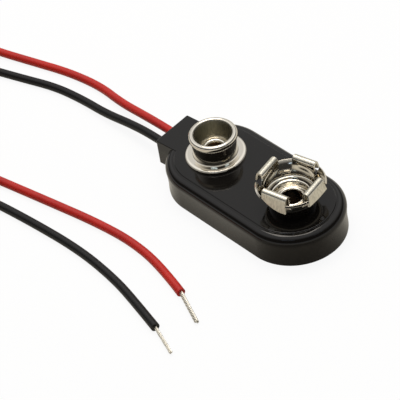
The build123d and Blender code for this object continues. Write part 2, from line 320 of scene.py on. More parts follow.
blackAbs = mouldedAbs("mouldedBlackAbs", plastic)
redPvc, blackPvc = [extrudedPvc(name, s, pvcGrain) for name, s in insulation.items()]
nickelBright, nickelSatin, nickelEyelet, tinnedCopper, tinnedBrass, solderGrey = [
    platedSheet(name, s, metalGrain) for name, s in metals.items()
]
print("materials made")

# Leads. Each route runs from the stripped end inside the housing to the one outside, and is the
# same list as in the part's source. A lead that lies on the ground has its middle at rest height
leadDiameter = 1.05
exitX = -13.9
exitHeight = 2.05
rest = leadDiameter / 2
redExit = 0.72
blackExit = -1.24
leadMesh = {"stepsPerPoint": 16, "roundness": 8}
leads = {
    "redLead": {
        "node": "red_lead",
        "slot": "red_pvc",
        "bareEnd": "redTinnedEnd",
        "material": redPvc,
        "exit": (exitX, redExit, exitHeight),
        "length": 164.6,
        "route": [
            (2.6, 1.1, exitHeight), (0.7, 1.7, exitHeight), (-2.3, 3.0, exitHeight),
            (-6.8, 3.2, exitHeight), (-10.55, redExit, exitHeight), (-16.6, redExit, exitHeight),
            (-21.0, 0.98, 1.45), (-25.4, 1.2, 0.8), (-30.2, 1.75, rest), (-35.4, 1.0, rest),
            (-40.6, -0.55, rest), (-46.5, -2.3, rest), (-54.0, -3.8, rest), (-62.6, -5.2, rest),
            (-70.0, -9.2, rest), (-73.0, -15.8, rest), (-70.2, -22.2, rest), (-63.0, -24.9, rest),
            (-53.8, -23.8, rest), (-44.4, -21.6, rest), (-35.2, -19.2, rest), (-26.4, -17.45, rest),
            (-18.6, -15.9, rest), (-11.8, -14.6, rest), (-6.1, -14.0, rest), (-0.6, -14.5, rest),
            (4.26, -15.8, rest),
        ],
    },
    "blackLead": {
        "node": "black_lead",
        "slot": "black_pvc",
        "bareEnd": "blackTinnedEnd",
        "material": blackPvc,
        "exit": (exitX, blackExit, exitHeight),
        "length": 150.6,
        "route": [
            (-10.6, blackExit, exitHeight), (-16.6, blackExit + 0.06, exitHeight), (-21.0, -1.1, 1.4),
            (-25.4, -1.35, 0.78), (-30.0, -1.35, rest), (-34.6, -1.95, rest), (-39.4, -3.6, rest),
            (-46.6, -5.9, rest), (-55.0, -7.4, rest), (-63.5, -8.9, rest), (-69.6, -13.0, 1.3),
            (-71.3, -19.4, 2.15), (-68.0, -26.0, 2.15), (-61.0, -29.4, 1.2), (-52.6, -28.6, rest),
            (-43.4, -25.8, rest), (-34.2, -22.9, rest), (-25.6, -20.5, rest), (-17.4, -19.45, rest),
            (-9.6, -18.85, rest), (-3.0, -19.3, rest), (1.6, -20.2, rest), (6.0, -21.2, rest),
        ],
    },
}


# A circle carried along a smooth spline that the route's points pull to themselves
def makeLead(name, s):
    data = bpy.data.curves.new(name, "CURVE")
    data.dimensions = "3D"
    data.resolution_u = leadMesh["stepsPerPoint"]
    data.bevel_depth = leadDiameter / 2 * mm
    data.bevel_resolution = leadMesh["roundness"]
    data.use_fill_caps = True
    line = data.splines.new("NURBS")
    route = s["route"]
    line.points.add(len(route) - 1)
    flat = np.c_[np.array(route) * mm, np.ones(len(route))].ravel()
    line.points.foreach_set("co", flat)
    line.order_u = 3
    line.use_endpoint_u = True
    lead = bpy.data.objects.new(name, data)
    bpy.context.collection.objects.link(lead)
    data.materials.append(s["material"])
    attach(lead, "root")
    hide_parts(s["node"])
    return lead


made = {name: makeLead(name, s) for name, s in leads.items()}
print("leads laid")


# Four-sided faces between neighbouring points of a grid, numbered row by row, which may close on
# itself either way
def gridFaces(rows, columns, closeRows, closeColumns, start=0):
    i, j = np.meshgrid(
        np.arange(rows if closeRows else rows - 1),
        np.arange(columns if closeColumns else columns - 1),
        indexing="ij",
    )
    nextRow, nextColumn = (i + 1) % rows, (j + 1) % columns
    corners = [
        i * columns + j, i * columns + nextColumn, nextRow * columns + nextColumn, nextRow * columns + j,
    ]
    return (np.stack(corners, axis=-1).reshape(-1, 4) + start).tolist()


# A mesh from points in millimetres. A closed one gets its faces turned outward
def meshPiece(name, points, faces, sharpDegrees=35, closed=True):
    data = bpy.data.meshes.new(name)
    data.from_pydata((np.asarray(points) * mm).tolist(), [], faces)
    if closed:
        mesh = bmesh.new()
        mesh.from_mesh(data)
        bmesh.ops.recalc_face_normals(mesh, faces=mesh.faces)
        mesh.to_mesh(data)
        mesh.free()
    smoothMesh(data, sharpDegrees)
    piece = bpy.data.objects.new(name, data)
    bpy.context.collection.objects.link(piece)
    return piece


# Smooth shading with edges left sharp where faces meet at more than the given angle
def smoothMesh(data, sharpDegrees):
    data.polygons.foreach_set("use_smooth", np.ones(len(data.polygons), bool))
    data.set_sharp_from_angle(angle=np.radians(sharpDegrees))
    data.update()


# How dull each point of a piece's metal is, from 0 to 1; on the stud's cup it is also how much painted shade
# darkens it
def paintDullAndShade(piece, values):
    layer = piece.data.attributes.new("dullAndShade", "FLOAT", "POINT")
    layer.data.foreach_set("value", np.asarray(values, np.float32).ravel())


# Gives a piece its material, hangs it under the root body, and hides the part's node that it takes the place
# of
def dress(piece, material, node):
    piece.data.materials.clear()
    piece.data.materials.append(material)
    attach(piece, "root")
    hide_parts(node)


# Joins or cuts closed pieces and leaves one plain mesh in the first of them
def combine(base, others, operation):
    for other in others:
        step = base.modifiers.new(other.name, "BOOLEAN")
        step.operation = operation
        step.solver = "EXACT"
        step.object = other
    graph = bpy.context.evaluated_depsgraph_get()
    joined = bpy.data.meshes.new_from_object(base.evaluated_get(graph))
    base.modifiers.clear()
    base.data = joined
    for other in others:
        bpy.data.objects.remove(other)


# Points round a full turn
roundSegments = 96


# A profile of straight runs with a tangent arc at each inner point: the arc's centre lies on the
# line that halves the corner, one radius from both runs
def roundedLine(points, radii, steps=10):
    p = np.array(points, float)
    pieces = [p[:1]]
    t = np.linspace(0, 1, steps)[:, None]
    for a, b, c, radius in zip(p, p[1:], p[2:], radii):
        u = (a - b) / np.linalg.norm(a - b)
        v = (c - b) / np.linalg.norm(c - b)
        half = np.arccos(np.clip(u @ v, -1, 1)) / 2
        centre = b + (u + v) / np.linalg.norm(u + v) * radius / np.sin(half)
        spoke = b + (u * (1 - t) + v * t) * radius / np.tan(half) - centre
        pieces.append(centre + spoke / np.linalg.norm(spoke, axis=1, keepdims=True) * radius)
    pieces.append(p[-1:])
    return np.vstack(pieces)


# Both faces of a bent sheet as one closed line: the second face lies one thickness to the right,
# its radii differ by that much, and the smallest is a tenth of it
def sheetLine(points, radii, thickness):
    p = np.array(points, float)
    run = np.diff(p, axis=0)
    run /= np.linalg.norm(run, axis=1, keepdims=True)
    side = np.c_[run[:, 1], -run[:, 0]] * thickness
    share = 1 / (1 + np.sum(run[:-1] * run[1:], axis=1, keepdims=True))
    inner = p[1:-1] + (side[:-1] + side[1:]) * share
    back = np.vstack([p[:1] + side[:1], inner, p[-1:] + side[-1:]])
    left = run[:-1, 0] * run[1:, 1] - run[:-1, 1] * run[1:, 0] > 0
    radii = np.array(radii)
    backRadii = np.where(left, radii + thickness, np.maximum(radii - thickness, thickness / 10))
    return np.vstack([roundedLine(points, radii), roundedLine(back, backRadii)[::-1]])


# The arc through three points: its centre is as far from each of them, and its angles run from
# the first to the last by way of the middle one
def arcThrough(first, middle, last, steps=13):
    p = np.array([first, middle, last], float)
    rows = 2 * (p[1:] - p[0])
    centre = np.linalg.solve(rows, np.sum(p[1:] ** 2 - p[0] ** 2, axis=1))
    radius = np.linalg.norm(p[0] - centre)
    angles = np.unwrap(np.arctan2(p[:, 1] - centre[1], p[:, 0] - centre[0]))
    t = np.linspace(angles[0], angles[-1], steps)
    return centre + radius * np.c_[np.cos(t), np.sin(t)]


# Points of a circle: x + r cos a, y + r sin a
def circle(radius, x=0.0, y=0.0, segments=roundSegments):
    a = np.linspace(0, 2 * np.pi, segments, endpoint=False)
    return np.c_[x + radius * np.cos(a), y + radius * np.sin(a)]


# Rings of points stacked from one end to the other, with a flat cap on both ends
def stackedPiece(name, rings):
    rows, columns = rings.shape[:2]
    last = (rows - 1) * columns
    caps = [list(range(columns))[::-1], list(range(last, last + columns))]
    faces = gridFaces(rows, columns, False, True) + caps
    return meshPiece(name, rings.reshape(-1, 3), faces)


# An outline drawn straight from one level to another, up Z or along X
def prism(name, outline, levels, alongX=False):
    a, b = outline[:, 0], outline[:, 1]
    rings = [np.c_[a, b, 0 * a + level] for level in levels]
    rings = np.array(rings)[..., [2, 0, 1]] if alongX else np.array(rings)
    return stackedPiece(name, rings)


# A profile turned about an upright axis: x = centre + r cos a, y = r sin a, z = h
def turnedRings(profile, centreX, segments):
    a = np.linspace(0, 2 * np.pi, segments, endpoint=False)
    r, h = profile[:, :1], profile[:, 1:]
    return np.stack([centreX + r * np.cos(a), r * np.sin(a), h + 0 * a], axis=-1)


# A closed profile turned into a ring-shaped solid
def turnedPiece(name, profile, centreX, segments):
    rings = turnedRings(profile, centreX, segments).reshape(-1, 3)
    return meshPiece(name, rings, gridFaces(len(profile), segments, True, True))


# A half section, listed from its top outward and down, carried round a slot: each end turns it
# through half a circle about its own middle, and the sides join the ends
def slotPiece(name, section, spacing, segments=64):
    half = np.linspace(-np.pi / 2, np.pi / 2, segments)
    a = np.r_[half, half + np.pi]
    centre = np.repeat([spacing / 2, -spacing / 2], segments)
    r, z = section[:, :1], section[:, 1:]
    return stackedPiece(name, np.stack([centre + r * np.cos(a), r * np.sin(a), z + 0 * a], axis=-1))


# Contacts' places, the housing's top face, the underside of its top wall, and the eyelets' bores
studX, socketX = -6.35, 6.35
topHeight = 4.08
ceiling = 2.88
boreRadius = 1.39

# Pairs are a radius from the middle of an end and a height. The pads' heights are above the top
# face, and the lead holes' ends are measured inward from the boss's end face
housing = {
    "endSpacing": 12.5,
    "foot": (6.1, 0.25),
    "waist": (6.06, 1.5),
    "sideRadius": 6.16,
    "shoulderRadius": 1.0,
    "plateauRadius": 5.05,
    "plateauStep": 0.09,
    "plateauBends": (0.14, 0.05),
    "capInset": 1.0,
    "cavityRadius": 5.25,
    "cavityCapRadius": 1.0,
    "cavityCorner": 0.5,
    "ledge": 0.4,
    "coverThickness": 0.8,
    "bossWidth": 5.55,
    "bossOffset": -0.18,
    "bossReach": 13.97,
    "bossTurn": 5.5,
    "bossBottom": 0.68,
    "bossCorner": 0.18,
    "bossEdge": 0.14,
    "bossEndWall": 1.2,
    "channelWidth": 3.7,
    "channelBottom": 1.475,
    "studPad": (1.62, 0.82),
    "studPadRoot": 1.0,
    "socketPad": [(2.03, 0.46), (2.29, 1.11), (2.7, 1.11), (2.7, -1.0)],
    "boreLevels": (1.0, 2 * topHeight),
    "leadHoleRadius": 0.555,
    "leadHoleEnds": (-1.0, 2.0),
    "leadHoleSegments": 48,
    "overshoot": 0.5,
    "shoulderSteps": 15,
    "plateauSteps": 5,
    "bossEdgeSteps": 7,
    "bossCornerSteps": 9,
    "sharpAngle": 30,
}


# Points with x measured inward from the boss's end face, turned about the middle of that face by
# the boss's small angle and moved to its place
def placeInBoss(s, points):
    turn = np.radians(s["bossTurn"])
    x, y = points[..., 0], points[..., 1]
    placed = points.copy()
    placed[..., 0] = x * np.cos(turn) - y * np.sin(turn) - s["bossReach"]
    placed[..., 1] = x * np.sin(turn) + y * np.cos(turn) + s["bossOffset"]
    return placed


# The outline of the boss seen from above, a rectangle with two round corners, repeated at each
# level and drawn in by r (1 - cos a) at height r sin a as its top edge rounds over
def makeBoss(s):
    halfWidth, corner, edge = s["bossWidth"] / 2, s["bossCorner"], s["bossEdge"]
    length = s["bossReach"] - s["endSpacing"] / 2
    over = np.linspace(0, np.pi / 2, s["bossEdgeSteps"])
    inset = np.r_[0, edge * (1 - np.cos(over))][:, None]
    levels = np.r_[s["bossBottom"], topHeight - edge + edge * np.sin(over)][:, None]
    a = np.linspace(np.pi / 2, np.pi, s["bossCornerSteps"])
    x = np.hstack([length + 0 * inset, corner + (corner - inset) * np.cos(a)])
    y = np.hstack([halfWidth - inset, halfWidth - corner + (corner - inset) * np.sin(a)])
    x, y = np.hstack([x, x[:, ::-1]]), np.hstack([y, -y[:, ::-1]])
    return stackedPiece("boss", placeInBoss(s, np.stack([x, y, levels + 0 * x], axis=-1)))


# The shell is one section carried round a slot: a flat top, a small step down, a quarter circle
# for the shoulder and an arc drawn in at the waist. Boss and pads are joined to it, and the
# cavity, the wires' channel, the eyelets' bores and the lead holes are cut from it
def makeHousing(s):
    shoulderTop = topHeight - s["plateauStep"]
    sideTop = shoulderTop - s["shoulderRadius"]
    start = s["sideRadius"] - s["shoulderRadius"]
    over = np.linspace(np.pi / 2, 0, s["shoulderSteps"])[:, None]
    turn = np.hstack([np.cos(over), np.sin(over)])
    shoulder = (start, sideTop) + s["shoulderRadius"] * turn
    step = roundedLine(
        [
            (s["plateauRadius"] - s["capInset"], topHeight),
            (s["plateauRadius"] - s["plateauStep"], topHeight),
            (s["plateauRadius"], shoulderTop),
            tuple(shoulder[0]),
        ],
        s["plateauBends"],
        s["plateauSteps"],
    )
    waist = arcThrough((s["sideRadius"], sideTop), s["waist"], s["foot"])
    section = np.vstack([step[:-1], shoulder, waist[1:], [(s["foot"][0], 0.0)]])
    body = slotPiece("housing", section, s["endSpacing"])
    inside, ledge = s["cavityRadius"], s["cavityRadius"] + s["ledge"]
    cavityLine = [(s["cavityCapRadius"], ceiling), (inside, ceiling), (inside, s["coverThickness"])]
    below = [(ledge, s["coverThickness"]), (ledge, -s["overshoot"])]
    cavity = np.vstack([roundedLine(cavityLine, [s["cavityCorner"]]), below])
    near, far = s["bossEndWall"], s["bossReach"] - s["endSpacing"] / 2
    channel = np.array([(near, -1), (near, 1), (far, 1), (far, -1)]) * (1, s["channelWidth"] / 2)
    padRadius, padHeight = s["studPad"]
    socketPad = np.array(s["socketPad"]) + (0, topHeight)
    combine(
        body,
        [
            makeBoss(s),
            prism(
                "studPad", circle(padRadius, studX), (topHeight - s["studPadRoot"], topHeight + padHeight)
            ),
            stackedPiece("socketPad", turnedRings(socketPad, socketX, roundSegments)),
        ],
        "UNION",
    )
    combine(
        body,
        [
            slotPiece("cavity", cavity, s["endSpacing"]),
            prism("channel", placeInBoss(s, channel), (s["channelBottom"], ceiling)),
            prism("studBore", circle(boreRadius, studX), s["boreLevels"]),
            prism("socketBore", circle(boreRadius, socketX), s["boreLevels"]),
        ]
        + [
            prism(
                "leadHole", circle(s["leadHoleRadius"], y, exitHeight, s["leadHoleSegments"]),
                [end - s["bossReach"] for end in s["leadHoleEnds"]], alongX=True,
            )
            for y in (redExit, blackExit)
        ],
        "DIFFERENCE",
    )
    smoothMesh(body.data, s["sharpAngle"])
    weigh = body.modifiers.new("weigh", "WEIGHTED_NORMAL")
    weigh.keep_sharp = True
    return body


dress(makeHousing(housing), blackAbs, "housing")
print("housing made")

# Points are a radius and a height above the housing's top, from the riveted middle up the cup, over
# the bead and down to the flange. The cup's inner wall is dull between two heights, and painted darker
# there as painted shade
stud = {
    "sheet": 0.18,
    "segments": 160,
    "points": [
        (1.39, 1.0), (1.62, 1.0), (1.77, 1.47), (2.28, 3.36), (2.86, 3.44),
        (2.86, 2.78), (2.64, 2.55), (2.64, 0.48), (3.2, 0.48), (3.6, 0.4), (3.6, 0.0),
    ],
    "radii": [0.1, 0.4, 0.24, 0.34, 0.2, 0.1, 0.12, 0.9, 0.2],
    "dullAndShadeRadius": 2.35,
    "dullAndShadeBelow": 3.4,
    "dullAndShadeFade": 0.2,
    "dullAndShadeAbove": 1.3,
}


# The sheet's closed profile turned about the stud's axis
def makeStud(s):
    line = sheetLine(s["points"], s["radii"], s["sheet"]) + (0, topHeight)
    piece = turnedPiece("studContact", line, studX, s["segments"])
    # The cup's inner wall takes the duller finish and its painted shade, fading out towards the bead
    fade = np.clip((s["dullAndShadeBelow"] - line[:, 1] + topHeight) / s["dullAndShadeFade"], 0, 1)
    inCup = (line[:, 0] < s["dullAndShadeRadius"]) & (line[:, 1] > topHeight + s["dullAndShadeAbove"])
    paintDullAndShade(piece, np.repeat(fade * inCup, s["segments"]))
    return piece


dress(makeStud(stud), nickelBright, "stud_contact")
print("stud made")

# Heights are above the housing's top. A long petal's sides are its flap's lengths at both ends and
# its middle the length between them, flare is how far each end of the flap reaches out sideways,
# tilt how much higher one end of its roll stands, and lean the flap's angle to the upright. The
# sheet is dull from a row of the roll on
socket = {
    "sheet": 0.28,
    "turn": 13.0,
    "floor": [(1.39, 0.74), (1.86, 0.74), (2.12, 1.39), (2.98, 1.39), (2.98, 1.99)],
    "floorRadii": [0.12, 0.3, 0.3],
    "wallRadius": 2.98,
    "wallTop": 1.99,
    "rootWidth": 3.05,
    "slit": 0.12,
    "rollRadius": 0.48,
    "longColumns": 17,
    "shortColumns": 9,
    "wallRows": 13,
    "rollRows": 15,
    "flapRows": 9,
    "firstDullRow": 15,
    "coneBend": 0.65,
    "weldGap": 0.005,
    "sharpAngle": 60,
    "edge": 0.045,
    "edgeSegments": 2,
    "edgeAngle": 50,
    "longPetals": [
        {
            "angle": 0, "shift": 0.15, "width": 3.05, "top": 3.14, "tilt": 0.0, "waist": 2.5,
            "lean": 20, "sides": (0.95, 1.1), "middle": 1.12, "flare": (-0.5, 0.0),
        },
        {
            "angle": 90, "shift": -0.25, "width": 2.9, "top": 3.88, "tilt": 0.0, "waist": 2.48,
            "lean": 15, "sides": (0.85, 1.75), "middle": 1.5, "flare": (0.0, 0.5),
        },
        {
            "angle": 180, "shift": -0.1, "width": 3.15, "top": 3.91, "tilt": 0.0, "waist": 2.48,
            "lean": 15, "sides": (1.75, 0.85), "middle": 1.5, "flare": (-0.5, 0.0),
        },
        {
            "angle": 270, "shift": 0.1, "width": 3.15, "top": 3.46, "tilt": -0.04, "waist": 2.5,
            "lean": 15, "sides": (0.6, 1.5), "middle": 1.4, "flare": (0.0, 0.12),
        },
    ],
    "shortPetals": [
        {"angle": 45, "radius": 4.0, "top": 3.14},
        {"angle": 135, "radius": 3.87, "top": 3.14},
        {"angle": 225, "radius": 3.78, "top": 3.14},
        {"angle": 315, "radius": 3.92, "top": 3.14},
    ],
}


# One long petal: a smooth step t t (3 - 2 t) blends it from the round wall to a flat waist, half a
# circle turns it over a roll, and a straight flap runs down from there, whose free edge is a
# parabola, 1 - across squared, between its two sides
def longPetal(s, p):
    across = np.linspace(-1, 1, s["longColumns"])
    share = (across + 1) / 2
    root = np.arcsin(s["rootWidth"] / 2 / s["wallRadius"])
    y = across * p["width"] / 2 + p["shift"]
    t = np.linspace(0, 1, s["wallRows"])[:, None]
    ease = t * t * (3 - 2 * t)
    top = p["top"] + p["tilt"] * across
    wallX = s["wallRadius"] * np.cos(across * root) * (1 - ease) + p["waist"] * ease
    wallY = s["wallRadius"] * np.sin(across * root) * (1 - ease) + y * ease
    wallZ = s["wallTop"] * (1 - t) + top * t
    a = np.radians(np.linspace(180, p["lean"], s["rollRows"]))[1:, None]
    rollX = p["waist"] + s["rollRadius"] * (1 + np.cos(a)) + 0 * y
    rollZ = top + s["rollRadius"] * np.sin(a)
    lean = np.radians(p["lean"])
    down = np.linspace(0, 1, s["flapRows"])[1:, None]
    first, last = p["sides"]
    middle = p["middle"] - (first + last) / 2
    reach = first + (last - first) * share + middle * (1 - across ** 2)
    flare = p["flare"][0] * (1 - share) + p["flare"][1] * share
    flapX = rollX[-1:] + np.sin(lean) * down * reach
    flapY = y + down * flare
    flapZ = rollZ[-1:] - np.cos(lean) * down * reach
    x = np.vstack([wallX, rollX, flapX])
    z = np.vstack([wallZ, rollZ, flapZ])
    y = np.vstack([wallY, 0 * rollX + y, flapY])
    return np.stack([x, y, z], axis=-1)


# One short petal: a sector of a cone between two slits, whose radius grows partly with height and
# partly with its square, so that it bends outward
def shortPetal(s, p):
    across = np.linspace(-1, 1, s["shortColumns"])
    t = np.linspace(0, 1, s["wallRows"])[:, None]
    grown = (1 - s["coneBend"]) * t + s["coneBend"] * t ** 2
    radius = s["wallRadius"] + (p["radius"] - s["wallRadius"]) * grown
    spread = np.pi / 4 - np.arcsin((s["rootWidth"] / 2 + s["slit"]) / radius)
    angle = across * spread
    height = s["wallTop"] + (p["top"] - s["wallTop"]) * t + 0 * across
    return np.stack([radius * np.cos(angle), radius * np.sin(angle), height], axis=-1)


# Points turned about the upright axis: x cos a - y sin a, x sin a + y cos a
def turnedAbout(grid, degrees):
    a = np.radians(degrees)
    x, y, z = np.moveaxis(grid, -1, 0)
    return np.stack([x * np.cos(a) - y * np.sin(a), x * np.sin(a) + y * np.cos(a), z], axis=-1)


# The socket is one sheet: a turned floor whose rim has the petals' own points, the petals welded to
# it, and a thickness given outward. The floor's points stand at each petal's angles in turn
def makeSocket(s):
    root = np.arcsin(s["rootWidth"] / 2 / s["wallRadius"])
    gap = np.pi / 4 - np.arcsin((s["rootWidth"] / 2 + s["slit"]) / s["wallRadius"])
    quarter = np.r_[
        np.linspace(-root, root, s["longColumns"]), np.pi / 4 + np.linspace(-gap, gap, s["shortColumns"])
    ]
    angles = (np.arange(4)[:, None] * np.pi / 2 + quarter).ravel()
    line = roundedLine(s["floor"], s["floorRadii"])
    r, h = line[:, :1], line[:, 1:]
    grids = [np.stack([r * np.cos(angles), r * np.sin(angles), h + 0 * angles], axis=-1)]
    for p in s["longPetals"]:
        grids.append(turnedAbout(longPetal(s, p), p["angle"]))
    for p in s["shortPetals"]:
        grids.append(turnedAbout(shortPetal(s, p), p["angle"]))
    points, faces, dullAndShade, count = [], [], [], 0
    for i, grid in enumerate(grids):
        rows, columns = grid.shape[:2]
        isLong = 0 < i <= len(s["longPetals"])
        dullAndShade.append(np.repeat(np.arange(rows) >= (s["firstDullRow"] if isLong else rows), columns))
        faces += gridFaces(rows, columns, False, i == 0, count)
        points.append(turnedAbout(grid, s["turn"]).reshape(-1, 3) + (socketX, 0, topHeight))
        count += rows * columns
    piece = meshPiece("socketContact", np.vstack(points), faces, s["sharpAngle"], closed=False)
    paintDullAndShade(piece, np.concatenate(dullAndShade))
    mesh = bmesh.new()
    mesh.from_mesh(piece.data)
    bmesh.ops.remove_doubles(mesh, verts=mesh.verts, dist=s["weldGap"] * mm)
    mesh.to_mesh(piece.data)
    mesh.free()
    thick = piece.modifiers.new("sheet", "SOLIDIFY")
    thick.thickness = s["sheet"] * mm
    thick.offset = 1
    thick.use_even_offset = True
    edge = piece.modifiers.new("edge", "BEVEL")
    edge.width = s["edge"] * mm
    edge.segments = s["edgeSegments"]
    edge.limit_method = "ANGLE"
    edge.angle_limit = np.radians(s["edgeAngle"])
    edge.harden_normals = True
    return piece


dress(makeSocket(socket), nickelSatin, "socket_contact")
print("socket made")

# Seats are above the housing's top, and the clinch is the rim turned outward under the tag. Below
# the bright depth the bore is dull
eyelet = {
    "radius": 1.36,
    "headRadius": 1.6,
    "headHeight": 0.24,
    "tagBottom": 2.63,
    "clinchRadius": 1.9,
    "clinch": 0.22,
    "brightDepth": 0.05,
    "segments": roundSegments,
    "seats": {
        "studEyelet": {"node": "stud_eyelet", "x": studX, "seat": 1.0, "bore": 1.0},
        "socketEyelet": {"node": "socket_eyelet", "x": socketX, "seat": 0.74, "bore": 1.23},
    },
}


# A turned tube: an arc from the seat over the head into the bore, an arc under the tag out to the
# clinched rim, and the straight outside between them
def makeEyelet(s, name, place):
    seat = topHeight + place["seat"]
    bore = place["bore"]
    crown = ((bore + s["headRadius"]) / 2, seat + s["headHeight"])
    head = arcThrough((s["headRadius"], seat), crown, (bore, seat))
    low = s["tagBottom"]
    rim = arcThrough((bore, low), (s["radius"], low - s["clinch"]), (s["clinchRadius"], low))
    line = np.vstack([head, rim, [(s["radius"], low), (s["radius"], seat)]])
    piece = turnedPiece(name, line, place["x"], s["segments"])
    paintDullAndShade(piece, np.repeat(line[:, 1] < seat - s["brightDepth"], s["segments"]))
    return piece


for name, place in eyelet["seats"].items():
    dress(makeEyelet(eyelet, name, place), nickelEyelet, place["node"])
print("eyelets made")

# Stripped ends: six strands laid round a middle one, cut to slightly different lengths. Tips are
# places on the ground plan, and pitch is the length of one turn of the lay
bareEnds = {
    "redTinnedEnd": {
        "node": "red_tinned_end", "lead": "redLead", "tip": (8.9, -17.63), "pitch": 3.2,
        "strandRadius": 0.084, "layRadius": 0.168, "splay": 0.1, "shorter": (0.05, 0.3), "seed": 3,
    },
    "blackTinnedEnd": {
        "node": "black_tinned_end", "lead": "blackLead", "tip": (10.06, -22.53), "pitch": 9.0,
        "strandRadius": 0.068, "layRadius": 0.134, "splay": 0.0, "shorter": (0.03, 0.12), "seed": 8,
    },
}
strand = {
    "count": 6,
    "endHeight": 0.32,
    "inside": 0.4,
    "middleShorter": 0.1,
    "splayPower": 6,
    "steps": 61,
    "sides": 12,
    "endShare": 0.55,
    "sharpAngle": 50,
}


# Each strand's middle line is a helix of the given pitch about the stripped end's axis, a little
# wider at its tip, and a circle is carried along it, smaller at both ends
def makeStrands(name, s, b):
    rng = np.random.default_rng(b["seed"])
    route = np.array(leads[b["lead"]]["route"])
    start = route[-1]
    tip = np.array([*b["tip"], s["endHeight"]])
    whole = np.linalg.norm(tip - start)
    axis = (tip - start) / whole
    side = np.cross(axis, (0, 0, 1))
    side /= np.linalg.norm(side)
    up = np.cross(side, axis)
    count = s["count"] + 1
    lengths = whole - np.r_[rng.uniform(*b["shorter"], s["count"]), s["middleShorter"]]
    t = np.linspace(0, 1, s["steps"])
    along = -s["inside"] + (lengths[:, None] + s["inside"]) * t
    lay = np.r_[np.full(s["count"], b["layRadius"]), 0][:, None]
    lay = lay * (1 + b["splay"] * t ** s["splayPower"])
    angle = (np.arange(count) / s["count"] + along.T / b["pitch"]).T * 2 * np.pi
    centre = start + along[..., None] * axis
    centre = centre + (lay * np.cos(angle))[..., None] * side + (lay * np.sin(angle))[..., None] * up
    ring = np.linspace(0, 2 * np.pi, s["sides"], endpoint=False)
    across = np.cos(ring)[:, None] * side + np.sin(ring)[:, None] * up
    radius = b["strandRadius"] * np.where((t == 0) | (t == 1), s["endShare"], 1.0)[:, None, None]
    points, faces = [], []
    for i in range(count):
        rings = centre[i][:, None, :] + across * radius
        rows, columns = rings.shape[:2]
        first = i * rows * columns
        last = first + (rows - 1) * columns
        faces += gridFaces(rows, columns, False, True, first)
        faces += [list(range(first, first + columns))[::-1], list(range(last, last + columns))]
        points.append(rings.reshape(-1, 3))
    return meshPiece(name, np.vstack(points), faces, s["sharpAngle"])


for name, b in bareEnds.items():
    made[name] = makeStrands(name, strand, b)
    dress(made[name], tinnedCopper, b["node"])
print("stripped ends made")

# Pieces that keep the part's own meshes: the cover, the tags, the strands and solder inside
keptNodes = {
    "bottom_cover": blackAbs,
    "stud_solder_tag": tinnedBrass,
    "socket_solder_tag": tinnedBrass,
    "red_inner_strands": tinnedCopper,
    "black_inner_strands": tinnedCopper,
    "red_solder_joint": solderGrey,
    "black_solder_joint": solderGrey,
}
for name, material in keptNodes.items():
    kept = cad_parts[name].data
    kept.materials.clear()
    kept.materials.append(material)
print("kept nodes dressed")

# Lights, floor and background. Most light comes from above and behind the object, and the camera's
# side is dim but for two narrow strips. The camera sees white round the object, and metal mirrors
# the pale floor and horizon. The floor's size, the lamps' distance and their sizes are in metres.
# The bright part and the gap fade between two cosines of the angle to their middle, and horizonTop
# is the sine of the elevation where the horizon's glow ends
stage = {
    "floorSize": 0.8,
    "floorSeen": "FAFAFA",
    "floorMirrored": "E4DED0",
    "floorShaded": "8A857B",
    "shadedPlace": (15.0, -8.0, 0.0),
    "shadedRadii": (5.0, 16.0),
    "floorGlow": 0.9,
    "floorRough": 0.9,
    "floorGloss": 0.2,
    "brightAzimuth": 144.2,
    "brightElevation": 70.0,
    "gapAzimuth": 144.2,
    "gapElevation": 41.0,
    "gapFrom": 0.95,
    "gapTo": 0.985,
    "gapLevel": 0.88,
    "brightFrom": 0.45,
    "brightTo": 0.85,
    "dimLevel": 0.04,
    "brightLevel": 1.2,
    "horizonTop": 0.32,
    "horizonLevel": 0.95,
    "lampDistance": 0.3,
}
lamps = {
    "leftStrip": {
        "azimuth": -60.0, "elevation": 48.0, "size": (0.12, 0.008), "power": 0.01, "tint": "CFE6FF",
    },
    "rightStrip": {
        "azimuth": 14.0, "elevation": 48.0, "size": (0.08, 0.008), "power": 0.005, "tint": "CFE6FF",
    },
    "overhead": {
        "azimuth": 144.0, "elevation": 70.0, "size": (0.12, 0.12), "power": 0.3, "tint": "FFF6EA",
    },
}


# The direction at an azimuth from +X towards +Y and an elevation above the floor
def directionOf(azimuth, elevation):
    a, e = np.radians([azimuth, elevation])
    return Vector((np.cos(e) * np.cos(a), np.cos(e) * np.sin(a), np.sin(e)))


# A smooth step from one level to another as a direction's dot product with another one rises
def addStep(tree, place, direction, start, end, low, high):
    near = addNode(tree, "ShaderNodeVectorMath", {"operation": "DOT_PRODUCT"}, {1: direction}, {0: place})
    return addNode(
        tree, "ShaderNodeMapRange", {"interpolation_type": "SMOOTHSTEP"},
        {"From Min": start, "From Max": end, "To Min": low, "To Max": high},
        {"Value": near.outputs["Value"]},
    ).outputs[0]


